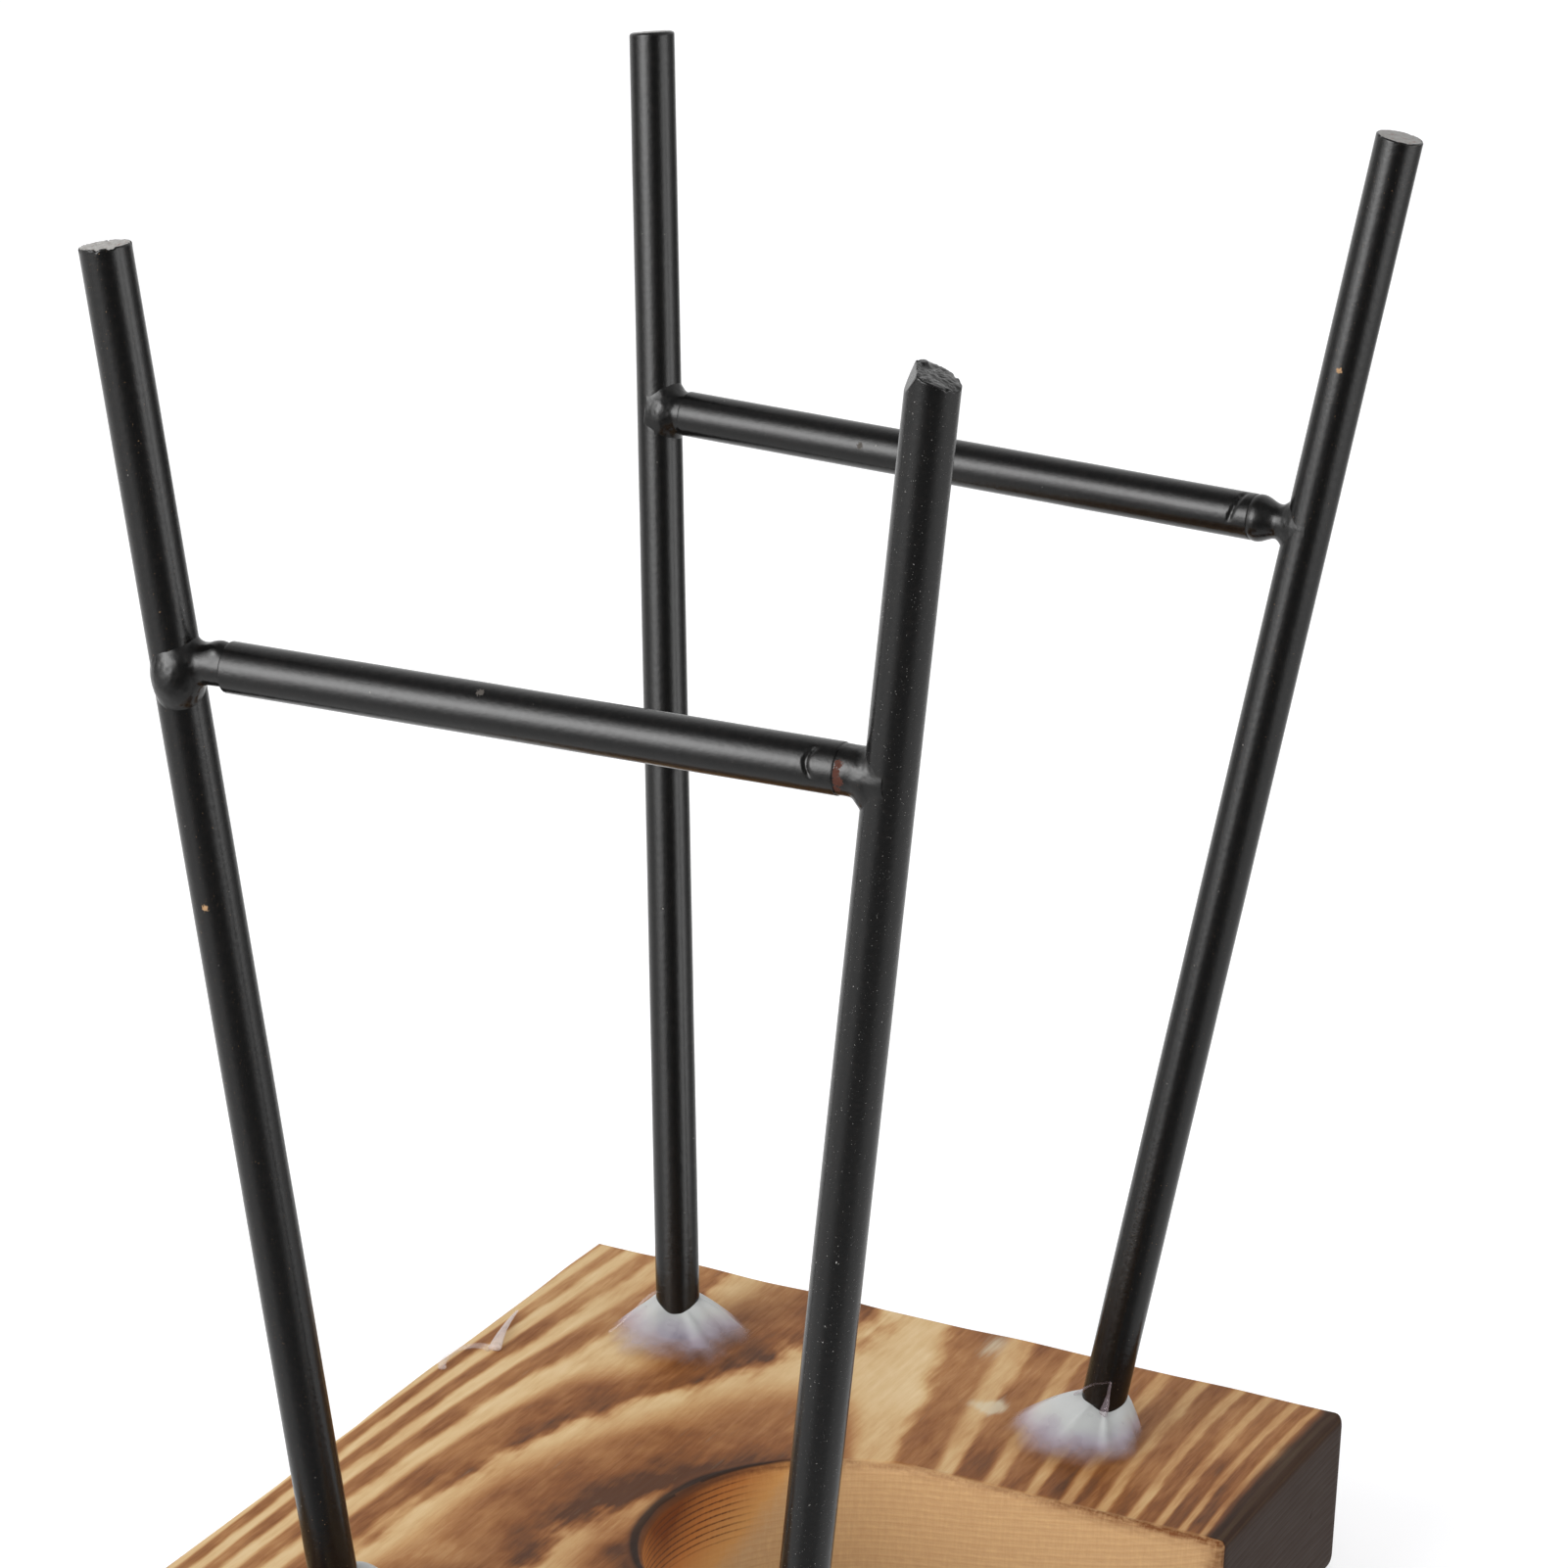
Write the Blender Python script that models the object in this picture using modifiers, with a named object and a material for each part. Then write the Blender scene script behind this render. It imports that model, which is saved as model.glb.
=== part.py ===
"""Stand of a hydroponic vase: a slotted wooden board and two welded frames of black rod.

Lengths are in metres and angles in degrees. +Z is up, and the board lies on Z = 0 as it is
photographed, with the rods standing up. The slot that takes the vase's neck opens towards +X.
The front frame stands at -Y and the back frame at +Y.
"""

import math

import bmesh
import bpy
from mathutils import Vector

# Board: one piece of scorched softwood, with its grain along Y
BOARD_WIDTH = 0.100
BOARD_DEPTH = 0.125
BOARD_THICKNESS = 0.020
BOARD_EDGE_RADIUS = 0.0012
SLOT_WIDTH = 0.046
SLOT_LENGTH = 0.0587  # from the open side to the deepest point of the round end

# Rods: 5 mm steel under a thick coat of paint, bent by hand. Each is named for its corner
# of the board, and has its foot's inset from the two sides there and its lean towards them
ROD_DIAMETER = 0.0053
SOCKET_DEPTH = 0.012
RODS = {
    "front_left": {"inset": (0.0242, 0.0193), "lean": (6.9, 6.5), "length": 0.1550},
    "back_left": {"inset": (0.0211, 0.0192), "lean": (6.6, 6.6), "length": 0.1561},
    "back_right": {"inset": (0.0237, 0.0199), "lean": (7.6, 5.3), "length": 0.1564},
    "front_right": {"inset": (0.0228, 0.0193), "lean": (5.8, 5.2), "length": 0.1530},
}

# Crossbars: each end has its height above the board and the weld gap that it leaves to the rod
CROSSBAR_DIAMETER = 0.0053
CROSSBARS = {
    "front": {
        "front_left": {"height": 0.1101, "weld_gap": 0.0029},
        "front_right": {"height": 0.1108, "weld_gap": 0.0024},
    },
    "back": {
        "back_left": {"height": 0.1107, "weld_gap": 0.0012},
        "back_right": {"height": 0.1101, "weld_gap": 0.0039},
    },
}
WELD_NECK_DIAMETER = 0.0044
WELD_FLARE_DIAMETER = 0.0078
WELD_WRAP = 0.0016  # how far the bead runs back round the rod from the rod's near side

# Hot glue: a mound round each rod, off centre by its own offset from the rod's foot
GLUE_HEIGHT = 0.0054
GLUE_WALL = 0.0007  # thickness of the mound's lip round the rod
GLUE_MOUNDS = {
    "front_left": {"radius": 0.0084, "offset": (0.0008, -0.0010), "turn": 20},
    "back_left": {"radius": 0.0082, "offset": (0.0009, -0.0022), "turn": 75},
    "back_right": {"radius": 0.0080, "offset": (-0.0020, -0.0014), "turn": 190},
    "front_right": {"radius": 0.0079, "offset": (-0.0006, 0.0009), "turn": 310},
}
GLUE_LOBES = 3
GLUE_LOBE_SHARE = 0.07
STRING_DIAMETER = 0.0010
STRING_INSET = 0.0030  # how far the stray string lies from the board's left side
STRING_BACK_INSET = 0.0335  # and its middle from the board's back side
STRING_LENGTH = 0.0180
STRING_WAVE = 0.0011

# Fits
SEAT_GAP = 0.0003
CUTTER_OVERRUN = 0.010

ROD_SIDES = 40
SLOT_END_SIDES = 48
GLUE_SIDES = 36
GLUE_RINGS = 7


def clear_scene():
    for obj in list(bpy.data.objects):
        bpy.data.objects.remove(obj)


def new_collection(name, hidden=False):
    collection = bpy.data.collections.new(name)
    collection.hide_render = hidden
    bpy.context.scene.collection.children.link(collection)
    return collection


def principled(name, colour, roughness, metallic=0.0):
    material = bpy.data.materials.new(name)
    material.use_nodes = True
    shader = material.node_tree.nodes["Principled BSDF"]
    shader.inputs["Base Color"].default_value = (*colour, 1.0)
    shader.inputs["Roughness"].default_value = roughness
    shader.inputs["Metallic"].default_value = metallic
    return material


def take(obj, name, collection, material=None):
    """Names the object, gives it its material and moves it to its collection."""
    obj.name = name
    for owner in list(obj.users_collection):
        owner.objects.unlink(obj)
    collection.objects.link(obj)
    if material:
        obj.data.materials.append(material)
    return obj


def as_cutter(obj):
    obj.hide_render = True
    obj.display_type = "WIRE"
    return obj


def smooth(obj, angle=40):
    obj.data.shade_smooth()
    obj.data.set_sharp_from_angle(angle=math.radians(angle))


def cylinder_between(start, end, diameter):
    """A round bar from one point to the other."""
    run = end - start
    bpy.ops.mesh.primitive_cylinder_add(
        vertices=ROD_SIDES, radius=diameter / 2, depth=run.length, location=(start + end) / 2
    )
    obj = bpy.context.object
    obj.rotation_mode = "QUATERNION"
    obj.rotation_quaternion = run.to_track_quat("Z", "Y")
    smooth(obj)
    return obj


def prism(name, outline, low, high):
    """A mesh prism with that flat outline, between two heights."""
    curve = bpy.data.curves.new(name + "_outline", "CURVE")
    curve.dimensions = "2D"
    curve.fill_mode = "BOTH"
    curve.extrude = (high - low) / 2
    spline = curve.splines.new("POLY")
    spline.points.add(len(outline) - 1)
    for point, (x, y) in zip(spline.points, outline):
        point.co = (x, y, 0, 1)
    spline.use_cyclic_u = True
    drawn = bpy.data.objects.new(name + "_drawn", curve)
    drawn.location.z = (high + low) / 2
    bpy.context.scene.collection.objects.link(drawn)
    bpy.context.view_layer.update()
    evaluated = drawn.evaluated_get(bpy.context.evaluated_depsgraph_get())
    mesh = bpy.data.meshes.new_from_object(evaluated)
    weld_caps(mesh)
    solid = bpy.data.objects.new(name, mesh)
    solid.matrix_world = drawn.matrix_world
    bpy.context.scene.collection.objects.link(solid)
    bpy.data.objects.remove(drawn)
    return solid


def weld_caps(mesh):
    bm = bmesh.new()
    bm.from_mesh(mesh)
    bmesh.ops.remove_doubles(bm, verts=bm.verts, dist=1e-6)
    bmesh.ops.recalc_face_normals(bm, faces=bm.faces)
    bm.to_mesh(mesh)
    bm.free()


def subtract(obj, cutter):
    cut = obj.modifiers.new("cut_" + cutter.name, "BOOLEAN")
    cut.operation = "DIFFERENCE"
    cut.object = cutter


def corner_signs(name):
    """The signs of X and Y at the named rod's corner of the board."""
    across_y, across_x = name.split("_")
    return {"left": -1, "right": 1}[across_x], {"front": -1, "back": 1}[across_y]


def rod_direction(name):
    sign_x, sign_y = corner_signs(name)
    slope_x, slope_y = (math.tan(math.radians(angle)) for angle in RODS[name]["lean"])
    return Vector((sign_x * slope_x, sign_y * slope_y, 1)).normalized()


def rod_foot(name):
    """Where the rod's centre line crosses the board's top."""
    sign_x, sign_y = corner_signs(name)
    inset_x, inset_y = RODS[name]["inset"]
    x = sign_x * (BOARD_WIDTH / 2 - inset_x)
    y = sign_y * (BOARD_DEPTH / 2 - inset_y)
    return Vector((x, y, BOARD_THICKNESS))


def rod_point(name, height):
    """The point of the rod's centre line at that height above the board's top."""
    direction = rod_direction(name)
    return rod_foot(name) + direction * (height / direction.z)


def rod_end(name):
    return rod_foot(name) + rod_direction(name) * RODS[name]["length"]


def rod_cutter(name, cutters):
    """The rod's own space with its fitting gap: it drills the socket and hollows weld and glue."""
    bottom = rod_foot(name) - rod_direction(name) * SOCKET_DEPTH
    top = rod_end(name) + rod_direction(name) * CUTTER_OVERRUN
    obj = cylinder_between(bottom, top, ROD_DIAMETER + 2 * SEAT_GAP)
    return as_cutter(take(obj, "space_of_rod_" + name, cutters))


def slot_outline():
    """The slot's plan: a half round end, then two straight sides that run out past +X."""
    radius = SLOT_WIDTH / 2
    centre_x = BOARD_WIDTH / 2 - SLOT_LENGTH + radius
    open_x = BOARD_WIDTH / 2 + CUTTER_OVERRUN
    outline = [(open_x, -radius), (open_x, radius)]
    for step in range(SLOT_END_SIDES + 1):
        angle = math.pi / 2 + math.pi * step / SLOT_END_SIDES
        outline.append((centre_x + radius * math.cos(angle), radius * math.sin(angle)))
    return outline


def build_board(material, parts, cutters, rod_spaces):
    bpy.ops.mesh.primitive_cube_add(size=1, location=(0, 0, BOARD_THICKNESS / 2))
    board = take(bpy.context.object, "base_board", parts, material)
    for vertex in board.data.vertices:
        vertex.co.x *= BOARD_WIDTH
        vertex.co.y *= BOARD_DEPTH
        vertex.co.z *= BOARD_THICKNESS
    edges = board.modifiers.new("eased_edges", "BEVEL")
    edges.width = BOARD_EDGE_RADIUS
    edges.segments = 3
    slot = prism("slot", slot_outline(), -CUTTER_OVERRUN, BOARD_THICKNESS + CUTTER_OVERRUN)
    subtract(board, as_cutter(take(slot, "slot", cutters)))
    for space in rod_spaces.values():
        subtract(board, space)


def build_rod(name, material, parts):
    """A rod from just above its socket's bottom to its cut end."""
    bottom = rod_foot(name) - rod_direction(name) * (SOCKET_DEPTH - SEAT_GAP)
    obj = cylinder_between(bottom, rod_end(name), ROD_DIAMETER)
    take(obj, "rod_" + name, parts, material)


def crossbar_ends(ends):
    """For each end: the rod's point there, the unit vector into the bar, and the bar's own end."""
    (left_name, left), (right_name, right) = ends.items()
    left_point = rod_point(left_name, left["height"])
    right_point = rod_point(right_name, right["height"])
    along = (right_point - left_point).normalized()
    found = {}
    for name, end, point, inward in (
        (left_name, left, left_point, along),
        (right_name, right, right_point, -along),
    ):
        found[name] = (point, inward, point + inward * (ROD_DIAMETER / 2 + end["weld_gap"]))
    return found


def build_weld(name, point, inward, bar_end, material, parts, rod_space):
    """A bead turned about the bar's line: a neck at the bar, flaring to wrap the rod's near side."""
    reach = (bar_end - point).length - SEAT_GAP
    near_side = ROD_DIAMETER / 2
    wrap = near_side - WELD_WRAP
    neck = WELD_NECK_DIAMETER / 2
    flare = WELD_FLARE_DIAMETER / 2
    swell = (neck + flare) / 2
    profile = [
        (0, reach),
        (neck, reach),
        (neck, (reach + near_side) / 2),
        (swell, near_side),
        (flare, (near_side + wrap) / 2),
        (flare, wrap),
        (0, wrap),
    ]
    mesh = bpy.data.meshes.new("weld_" + name)
    steps = range(len(profile) - 1)
    mesh.from_pydata([(r, 0, z) for r, z in profile], [(i, i + 1) for i in steps], [])
    weld = bpy.data.objects.new("weld_" + name, mesh)
    weld.location = point
    weld.rotation_mode = "QUATERNION"
    weld.rotation_quaternion = inward.to_track_quat("Z", "Y")
    turned = weld.modifiers.new("turned", "SCREW")
    turned.axis = "Z"
    turned.steps = turned.render_steps = ROD_SIDES
    turned.use_merge_vertices = True
    turned.merge_threshold = 1e-5
    turned.use_smooth_shade = True
    bpy.context.scene.collection.objects.link(weld)
    take(weld, "weld_" + name, parts, material)
    subtract(weld, rod_space)


def glue_ring(name, share):
    """One level of a mound: share runs from 0 on the board to 1 at the lip round the rod."""
    mound = GLUE_MOUNDS[name]
    height = SEAT_GAP + GLUE_HEIGHT * share
    base = rod_foot(name) + Vector((*mound["offset"], 0))
    lip = rod_point(name, SEAT_GAP + GLUE_HEIGHT)
    centre = base.lerp(lip, share)
    lip_radius = ROD_DIAMETER / 2 + SEAT_GAP + GLUE_WALL
    spread = (1 - share) ** 1.7
    ring = []
    for step in range(GLUE_SIDES):
        angle = 2 * math.pi * step / GLUE_SIDES
        lobes = math.sin(GLUE_LOBES * angle + math.radians(mound["turn"]))
        radius = lip_radius + (mound["radius"] - lip_radius) * spread
        radius *= 1 + GLUE_LOBE_SHARE * lobes * spread
        ring.append(
            (
                centre.x + radius * math.cos(angle),
                centre.y + radius * math.sin(angle),
                BOARD_THICKNESS + height,
            )
        )
    return ring


def build_glue(name, material, parts, rod_space):
    """A mound lofted from its lobed foot on the board up to a thin lip round the leaning rod."""
    bm = bmesh.new()
    rings = []
    for level in range(GLUE_RINGS):
        points = glue_ring(name, level / (GLUE_RINGS - 1))
        rings.append([bm.verts.new(point) for point in points])
    for lower, upper in zip(rings, rings[1:]):
        for i in range(GLUE_SIDES):
            j = (i + 1) % GLUE_SIDES
            bm.faces.new((lower[i], lower[j], upper[j], upper[i]))
    bm.faces.new(reversed(rings[0]))
    bm.faces.new(rings[-1])
    mesh = bpy.data.meshes.new("glue_" + name)
    bm.to_mesh(mesh)
    bm.free()
    glue = bpy.data.objects.new("glue_" + name, mesh)
    smooth(glue)
    bpy.context.scene.collection.objects.link(glue)
    take(glue, "glue_" + name, parts, material)
    subtract(glue, rod_space)


def build_glue_string(material, parts):
    """A stray string of glue that lies on the board along its left side."""
    curve = bpy.data.curves.new("glue_string", "CURVE")
    curve.dimensions = "3D"
    curve.bevel_depth = STRING_DIAMETER / 2
    curve.bevel_resolution = 2
    curve.use_fill_caps = True
    spline = curve.splines.new("POLY")
    points = 13
    spline.points.add(points - 1)
    height = BOARD_THICKNESS + SEAT_GAP + STRING_DIAMETER / 2
    for i, point in enumerate(spline.points):
        share = i / (points - 1)
        x = -BOARD_WIDTH / 2 + STRING_INSET + STRING_WAVE * math.sin(2 * math.pi * share)
        y = BOARD_DEPTH / 2 - STRING_BACK_INSET + STRING_LENGTH * (share - 0.5)
        point.co = (x, y, height, 1)
    string = bpy.data.objects.new("glue_string", curve)
    bpy.context.scene.collection.objects.link(string)
    take(string, "glue_string", parts, material)


def main():
    clear_scene()
    parts = new_collection("vase_stand")
    cutters = new_collection("cutters", hidden=True)
    wood = principled("scorched_wood", (0.42, 0.24, 0.10), 0.6)
    paint = principled("black_paint", (0.012, 0.012, 0.012), 0.35)
    hot_glue = principled("hot_glue", (0.62, 0.60, 0.64), 0.3)

    rod_spaces = {name: rod_cutter(name, cutters) for name in RODS}
    build_board(wood, parts, cutters, rod_spaces)
    for name in RODS:
        build_rod(name, paint, parts)
        build_glue(name, hot_glue, parts, rod_spaces[name])
    for frame, ends in CROSSBARS.items():
        found = crossbar_ends(ends)
        bar_start, bar_stop = (bar_end for _, _, bar_end in found.values())
        bar = cylinder_between(bar_start, bar_stop, CROSSBAR_DIAMETER)
        take(bar, "crossbar_" + frame, parts, paint)
        for name, (point, inward, bar_end) in found.items():
            build_weld(name, point, inward, bar_end, paint, parts, rod_spaces[name])
    build_glue_string(hot_glue, parts)


main()
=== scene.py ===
import math

import bpy
import numpy as np
from mathutils import Matrix


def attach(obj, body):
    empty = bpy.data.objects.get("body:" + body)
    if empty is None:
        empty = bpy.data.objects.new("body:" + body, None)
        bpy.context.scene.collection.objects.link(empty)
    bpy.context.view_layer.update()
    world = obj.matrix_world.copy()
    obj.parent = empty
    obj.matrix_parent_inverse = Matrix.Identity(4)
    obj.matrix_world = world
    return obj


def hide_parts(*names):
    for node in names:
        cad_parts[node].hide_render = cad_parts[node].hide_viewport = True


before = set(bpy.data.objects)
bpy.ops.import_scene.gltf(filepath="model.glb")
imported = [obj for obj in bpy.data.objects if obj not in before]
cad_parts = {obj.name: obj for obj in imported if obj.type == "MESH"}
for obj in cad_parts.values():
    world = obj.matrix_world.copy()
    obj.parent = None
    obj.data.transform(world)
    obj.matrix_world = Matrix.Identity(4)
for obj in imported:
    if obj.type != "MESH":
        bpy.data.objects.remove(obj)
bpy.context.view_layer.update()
print("frame loaded")

# Lengths below are in millimetres unless a note says metres. The board lies on z = 0, the slot
# opens towards +x, and the front frame stands at -y. Colours are 8-bit sRGB.


class Flow:
    # one output socket of a node tree; sums on it add Math nodes
    def __init__(self, tree, socket=None):
        self.tree = tree
        self.socket = socket

    def add(self, kind, settings=None, sockets=None, output=0):
        node = self.tree.nodes.new("ShaderNode" + kind)
        for name, value in (settings or {}).items():
            setattr(node, name, value)
        for name, value in (sockets or {}).items():
            if isinstance(value, Flow):
                self.tree.links.new(value.socket, node.inputs[name])
            else:
                node.inputs[name].default_value = value
        return Flow(self.tree, node.outputs[output])

    def ramp(self, *stops):
        # the colour for this value, blended between stops of place and colour
        coloured = self.add("ValToRGB", None, {0: self})
        ramp = coloured.socket.node.color_ramp
        for place, colour in stops[1:-1]:
            ramp.elements.new(place)
        for element, (place, colour) in zip(ramp.elements, stops):
            element.position = place
            element.color = shade(*colour)
        return coloured

    def sum(self, operation, first, second=0.0):
        return self.add("Math", {"operation": operation}, {0: first, 1: second})

    def __add__(self, other):
        return self.sum("ADD", self, other)

    def __radd__(self, other):
        return self.sum("ADD", other, self)

    def __sub__(self, other):
        return self.sum("SUBTRACT", self, other)

    def __rsub__(self, other):
        return self.sum("SUBTRACT", other, self)

    def __mul__(self, other):
        return self.sum("MULTIPLY", self, other)

    def __rmul__(self, other):
        return self.sum("MULTIPLY", other, self)

    def most(self, other):
        return self.sum("MAXIMUM", self, other)

    def size(self):
        return self.sum("ABSOLUTE", self)

    def fraction(self):
        # what is left over the whole number below
        return self.sum("FRACT", self)

    def rise(self, low, high):
        # eased step: 0 below low, 1 above high; low above high turns it round
        edges = {0: self, 1: low, 2: high}
        return self.add("MapRange", {"interpolation_type": "SMOOTHSTEP"}, edges)

    def stretched(self, x, y, z):
        return self.add("VectorMath", {"operation": "MULTIPLY"}, {0: self, 1: (x, y, z)})

    def noise(self, scale, detail=2.0, rough=0.5):
        sockets = {"Vector": self, "Scale": scale, "Detail": detail, "Roughness": rough}
        return self.add("TexNoise", None, sockets)

    def near(self, point, reach, soft):
        # 1 within reach of the point, eased to 0 over the soft width
        away = self.add("VectorMath", {"operation": "DISTANCE"}, {0: self, 1: point}, 1)
        return away.rise(reach + soft, reach)

    def tint(self, share, other):
        # this colour mixed with that share of the other, which is a Flow or a colour
        other = other if isinstance(other, Flow) else shade(*other)
        return self.add("Mix", {"data_type": "RGBA"}, {0: share, 6: self, 7: other}, 2)


def shade(red, green, blue):
    # an 8-bit sRGB colour as the linear RGBA that a socket takes
    values = [value / 255 for value in (red, green, blue)]
    return (*(v / 12.92 if v <= 0.04045 else ((v + 0.055) / 1.055) ** 2.4 for v in values), 1.0)


def newMaterial(name):
    material = bpy.data.materials.new(name)
    material.use_nodes = True
    return material, Flow(material.node_tree)


def millimetres(start):
    # the Object coordinates times 1000
    sockets = {0: start.add("TexCoord", output=3), "Scale": 1000.0}
    return start.add("VectorMath", {"operation": "SCALE"}, sockets)


def settle(material, sockets):
    # constants and links of the material's Principled shader
    shader = material.node_tree.nodes["Principled BSDF"]
    for name, value in sockets.items():
        if isinstance(value, Flow):
            material.node_tree.links.new(value.socket, shader.inputs[name])
        else:
            shader.inputs[name].default_value = value
    return material


def lumps(points, size, seed):
    # value noise from -1 to 1: hashed numbers on a cubic lattice of that size, blended by the
    # eased share of the way across each cell
    cell = np.asarray(points, float) / size
    low = np.floor(cell).astype(np.int64)
    share = cell - low
    share = share * share * (3 - 2 * share)
    total = 0.0
    for corner in np.ndindex(2, 2, 2):
        code = ((low + corner) * (73856093, 19349663, 83492791)).sum(-1) + seed * 1013904223
        code = ((code ^ (code >> 13)) * 1274126177) & 0x7FFFFFFF
        code = code ^ (code >> 15)
        weight = np.prod(np.where(corner, share, 1 - share), axis=-1)
        total = total + weight * ((code % 65536) / 32767.5 - 1)
    return total


def ease(value, low, high):
    # eased step of an array, as rise is for sockets
    share = np.clip((value - low) / (high - low), 0, 1)
    return share * share * (3 - 2 * share)


def bell(value, middle, width):
    # exp(-((value - middle) / width)^2)
    return np.exp(-(((value - middle) / width) ** 2))


def unit(vector):
    # the vector over its length
    return np.asarray(vector, float) / np.linalg.norm(vector)


def loftFaces(rows, columns):
    # quads between neighbouring closed rings, and a fan from each end ring to its pole; the
    # rings' vertices come first, then the starting pole and the ending pole
    start = np.arange(rows - 1)[:, None] * columns
    here = np.arange(columns)
    after = (here + 1) % columns
    corners = (start + here, start + after, start + columns + after, start + columns + here)
    quads = np.stack(corners, axis=-1).reshape(-1, 4)
    last = (rows - 1) * columns
    pole = np.full(columns, rows * columns)
    starts = np.stack((after, here, pole), axis=-1)
    ends = np.stack((last + here, last + after, pole + 1), axis=-1)
    return quads.tolist() + starts.tolist() + ends.tolist()


def addLoft(name, rings, startPole, endPole, material, attributes):
    # a closed skin over rings of rows, columns and xyz; each attribute has a value per point, and
    # each pole takes the mean of the ring beside it
    points = np.concatenate((rings.reshape(-1, 3), [startPole], [endPole])) * 0.001
    mesh = bpy.data.meshes.new(name)
    mesh.from_pydata(points.tolist(), [], loftFaces(*rings.shape[:2]))
    mesh.shade_smooth()
    for label, values in attributes.items():
        ends = [values[0].mean(), values[-1].mean()]
        layer = mesh.attributes.new(label, "FLOAT", "POINT")
        layer.data.foreach_set("value", np.concatenate((values.ravel(), ends)).astype(np.float32))
    mesh.materials.append(material)
    piece = bpy.data.objects.new(name, mesh)
    bpy.context.scene.collection.objects.link(piece)
    return piece


def declare(piece, slotName, *nodes):
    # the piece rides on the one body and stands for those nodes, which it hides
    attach(piece, "root")
    if nodes:
        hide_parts(*nodes)


camera = {
    "place": (0.23559, -0.50039, 0.29501),  # metres
    "right": (0.90044601, 0.43336319, 0.03732737),
    "down": (0.17097808, -0.27373506, -0.94648593),
    "forward": (-0.39995435, 0.85864164, -0.32057925),
    "lens": 125.006,
    "sensor": 36,
}


def addCamera():
    # its matrix has right, up, back and its place as columns
    data = bpy.data.cameras.new("camera")
    data.lens = camera["lens"]
    data.sensor_width = camera["sensor"]
    obj = bpy.data.objects.new("camera", data)
    up = [-value for value in camera["down"]]
    back = [-value for value in camera["forward"]]
    columns = (camera["right"], up, back, camera["place"])
    rows = [[column[row] for column in columns] for row in range(3)]
    obj.matrix_world = Matrix(rows + [[0, 0, 0, 1]])
    bpy.context.scene.collection.objects.link(obj)
    bpy.context.scene.camera = obj


# Two lamps and the world's fill light what is matt. Gloss sees a drum round the object instead,
# with a plain glow that soft patches dim or raise. Azimuths run from -y towards +x, in degrees;
# lengths here are in metres.
studio = {
    "aim": (0.0, 0.0, 0.09),
    "softboxes": {
        "key": {"azimuth": -27, "elevation": 18, "away": 1.2, "size": (0.8, 1.0), "matt": 5.8},
        "side": {"azimuth": 90, "elevation": 4, "away": 1.2, "size": (0.7, 0.7), "matt": 2.0},
    },
    "fill": 0.72,
    "floor": (206, 206, 208),
    "floorGlow": 0.55,
    "floorHalf": 8.0,
    "floorDrop": 0.0003,
    "drumRadius": 1.5,
    "drumGlow": 1.03,
    # azimuth, elevation, half width, half height, steepness and amount of each patch
    "dims": (
        (27, 0, 45, 45, 4, 0.87),
        (-74, -2, 17, 10, 2, 0.6),
        (147, -6, 26, 15, 2, 0.8),
        (-25, 75, 38, 36, 4, 0.82),
    ),
    "raises": ((-25, 18, 22, 21.6, 2, 10.8), (90, 0, 23, 14, 3, 3.6)),
}
glowing = {"Roughness": 1.0, "Specular IOR Level": 0.0, "Emission Strength": 1.0}


def facing(azimuth, elevation):
    # unit vectors for a direction: towards it, to its right and up
    azimuth, elevation = math.radians(azimuth), math.radians(elevation)
    level = math.cos(elevation)
    towards = (math.sin(azimuth) * level, -math.cos(azimuth) * level, math.sin(elevation))
    right = unit(np.cross((0, 0, 1), towards))
    return np.array(towards), right, np.cross(towards, right)


def addSoftbox(name, box):
    # a rectangle of light that faces the aim; its power is its glow times pi times its area
    towards, right, up = facing(box["azimuth"], box["elevation"])
    place = np.array(studio["aim"]) + towards * box["away"]
    lamp = bpy.data.lights.new(name, "AREA")
    lamp.shape = "RECTANGLE"
    lamp.size, lamp.size_y = box["size"]
    lamp.energy = box["matt"] * math.pi * lamp.size * lamp.size_y
    obj = bpy.data.objects.new(name, lamp)
    obj.visible_glossy = False
    rows = [[float(c[row]) for c in (right, up, towards, place)] for row in range(3)]
    obj.matrix_world = Matrix(rows + [[0, 0, 0, 1]])
    bpy.context.scene.collection.objects.link(obj)


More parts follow.
